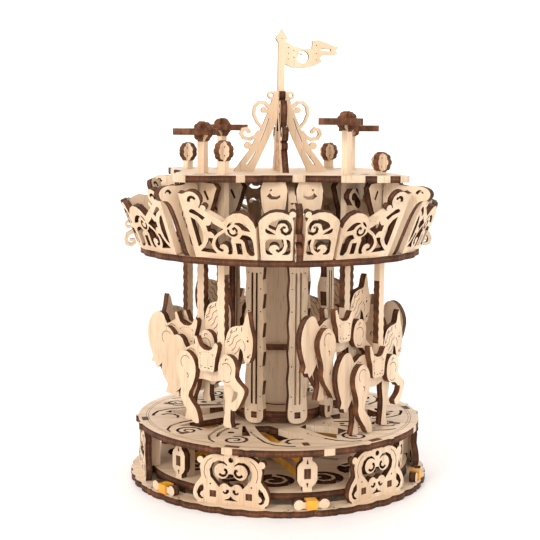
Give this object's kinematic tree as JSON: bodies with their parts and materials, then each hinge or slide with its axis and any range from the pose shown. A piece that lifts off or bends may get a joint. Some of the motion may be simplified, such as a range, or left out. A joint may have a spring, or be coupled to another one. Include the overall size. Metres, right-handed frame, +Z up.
{
  "type": "mechanical carousel model",
  "caption": "Table-top merry-go-round built from laser-cut plywood: turning column and canopy, and horses that rise and fall in pairs on rockers.",
  "frame": {"origin": "centre of the base ring's underside, on the turning axis", "axes": "+Z up along the turning axis, -Y towards the front, +X to the right seen from the front"},
  "size_m": [0.2004, 0.2004, 0.283],
  "materials": {
    "birch_ply": "bare laser-cut birch plywood with burnt edges",
    "dark_ply": "laser-burnt plywood seen edge on",
    "amber_rubber": "stretched amber rubber band",
    "steel_pin": "plain pin"
  },
  "bodies": {
    "base": {"base_ring": "birch_ply", "base_spacers": "dark_ply", "mid_plate": "birch_ply", "panel_1": "birch_ply", "panel_2": "birch_ply", "panel_3": "birch_ply", "panel_4": "birch_ply", "panel_5": "birch_ply", "panel_6": "birch_ply", "panel_posts": "dark_ply", "lanterns": "birch_ply", "lantern_ribs": "dark_ply", "band_cleats": "birch_ply", "rubber_bands": "amber_rubber", "deck": "birch_ply", "mast": "birch_ply", "mast_bearing": "dark_ply", "cam_ring": "dark_ply", "top_axle": "steel_pin"},
    "rotor": {"band_spool": "dark_ply", "lower_hub": "birch_ply", "pillars": "birch_ply", "canopy_floor": "birch_ply", "canopy_ribs": "birch_ply", "corner_plates": "birch_ply", "short_panels": "birch_ply", "tall_panels": "birch_ply", "rocker_brackets": "birch_ply", "rocker_pins": "steel_pin", "upper_deck": "birch_ply", "cone_ribs": "birch_ply", "flag": "birch_ply"},
    "rocker_1": {"rocker_1": "dark_ply"},
    "horse_in_1": {"horse_inner_1": "birch_ply", "tack_inner_1": "birch_ply", "pole_inner_1": "birch_ply"},
    "horse_out_1": {"horse_outer_1": "birch_ply", "tack_outer_1": "birch_ply", "pole_outer_1": "birch_ply"},
    "rocker_2": {"rocker_2": "dark_ply"},
    "horse_in_2": {"horse_inner_2": "birch_ply", "tack_inner_2": "birch_ply", "pole_inner_2": "birch_ply"},
    "horse_out_2": {"horse_outer_2": "birch_ply", "tack_outer_2": "birch_ply", "pole_outer_2": "birch_ply"},
    "rocker_3": {"rocker_3": "dark_ply"},
    "horse_in_3": {"horse_inner_3": "birch_ply", "tack_inner_3": "birch_ply", "pole_inner_3": "birch_ply"},
    "horse_out_3": {"horse_outer_3": "birch_ply", "tack_outer_3": "birch_ply", "pole_outer_3": "birch_ply"},
    "rocker_4": {"rocker_4": "dark_ply"},
    "horse_in_4": {"horse_inner_4": "birch_ply", "tack_inner_4": "birch_ply", "pole_inner_4": "birch_ply"},
    "horse_out_4": {"horse_outer_4": "birch_ply", "tack_outer_4": "birch_ply", "pole_outer_4": "birch_ply"}
  },
  "joints": [
    {"name": "rotor_spin", "type": "hinge", "parent": "base", "child": "rotor", "pos_m": [0, 0, 0.045], "axis": [0, 0, 1], "continuous": true},
    {"name": "horse_in_1_lift", "type": "slide", "parent": "rotor", "child": "horse_in_1", "axis": [0, 0, 1], "range_m": [-0.024, 0]},
    {"name": "rocker_1_tilt", "type": "hinge", "parent": "rotor", "child": "rocker_1", "pos_m": [0.04993, -0.03972, 0.1686], "axis": [-0.7826, 0.6225, 0], "range_deg": [-90.3, 0.3]},
    {"name": "horse_out_1_lift", "type": "slide", "parent": "rotor", "child": "horse_out_1", "axis": [0, 0, 1], "range_m": [-0.00005, 0.02405]},
    {"name": "horse_in_2_lift", "type": "slide", "parent": "rotor", "child": "horse_in_2", "axis": [0, 0, 1], "range_m": [-0.02, 0.004]},
    {"name": "rocker_2_tilt", "type": "hinge", "parent": "rotor", "child": "rocker_2", "pos_m": [0.03972, 0.04993, 0.1686], "axis": [-0.6225, -0.7826, 0], "range_deg": [-75.3, 15.3]},
    {"name": "horse_out_2_lift", "type": "slide", "parent": "rotor", "child": "horse_out_2", "axis": [0, 0, 1], "range_m": [-0.00405, 0.02005]},
    {"name": "horse_in_3_lift", "type": "slide", "parent": "rotor", "child": "horse_in_3", "axis": [0, 0, 1], "range_m": [-0.02, 0.004]},
    {"name": "rocker_3_tilt", "type": "hinge", "parent": "rotor", "child": "rocker_3", "pos_m": [-0.04993, 0.03972, 0.1686], "axis": [0.7826, -0.6225, 0], "range_deg": [-75.3, 15.3]},
    {"name": "horse_out_3_lift", "type": "slide", "parent": "rotor", "child": "horse_out_3", "axis": [0, 0, 1], "range_m": [-0.00405, 0.02005]},
    {"name": "horse_in_4_lift", "type": "slide", "parent": "rotor", "child": "horse_in_4", "axis": [0, 0, 1], "range_m": [-0.0175, 0.0065]},
    {"name": "rocker_4_tilt", "type": "hinge", "parent": "rotor", "child": "rocker_4", "pos_m": [-0.03972, -0.04993, 0.1686], "axis": [0.6225, 0.7826, 0], "range_deg": [-65.92, 24.67]},
    {"name": "horse_out_4_lift", "type": "slide", "parent": "rotor", "child": "horse_out_4", "axis": [0, 0, 1], "range_m": [-0.00655, 0.01755]}
  ],
  "couplings": [
    {"joint": "rocker_1_tilt", "follows": "horse_in_1_lift", "rad_per_m": 65.45},
    {"joint": "horse_out_1_lift", "follows": "horse_in_1_lift", "ratio": -1},
    {"joint": "rocker_2_tilt", "follows": "horse_in_2_lift", "rad_per_m": 65.45},
    {"joint": "horse_out_2_lift", "follows": "horse_in_2_lift", "ratio": -1},
    {"joint": "rocker_3_tilt", "follows": "horse_in_3_lift", "rad_per_m": 65.45},
    {"joint": "horse_out_3_lift", "follows": "horse_in_3_lift", "ratio": -1},
    {"joint": "rocker_4_tilt", "follows": "horse_in_4_lift", "rad_per_m": 65.45},
    {"joint": "horse_out_4_lift", "follows": "horse_in_4_lift", "ratio": -1}
  ]
}
